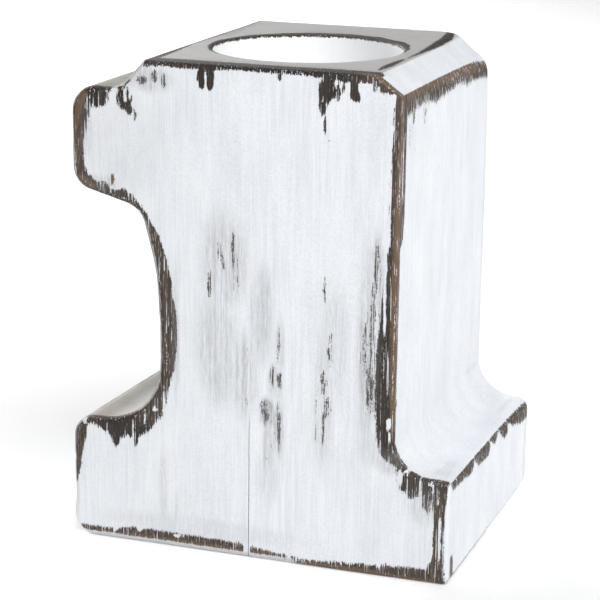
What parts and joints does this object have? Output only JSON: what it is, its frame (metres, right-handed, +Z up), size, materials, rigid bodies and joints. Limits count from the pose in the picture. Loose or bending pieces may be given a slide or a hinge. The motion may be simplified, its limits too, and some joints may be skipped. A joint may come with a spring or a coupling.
{
  "type": "wooden candle holder",
  "caption": "Chunky freestanding wooden numeral 1 in distressed white paint, glued up from boards, with a round tealight recess bored in its flat top.",
  "frame": {"origin": "centre of the bottom of the block, on the surface that it stands on", "axes": "+Z up, +X to the reader's right when the numeral is read from the front, and the front faces -Y"},
  "size_m": [0.082, 0.066, 0.1016],
  "materials": {
    "painted_wood_left": "brushed white paint, hand sanded back to dark brown stain along the edges",
    "painted_wood_right": "brushed white paint, hand sanded back to dark brown stain along the edges",
    "wood_glue": "dried wood glue, thin film"
  },
  "bodies": {
    "root": {"left_board": "painted_wood_left", "right_board": "painted_wood_right", "glue_line": "wood_glue"}
  },
  "joints": []
}
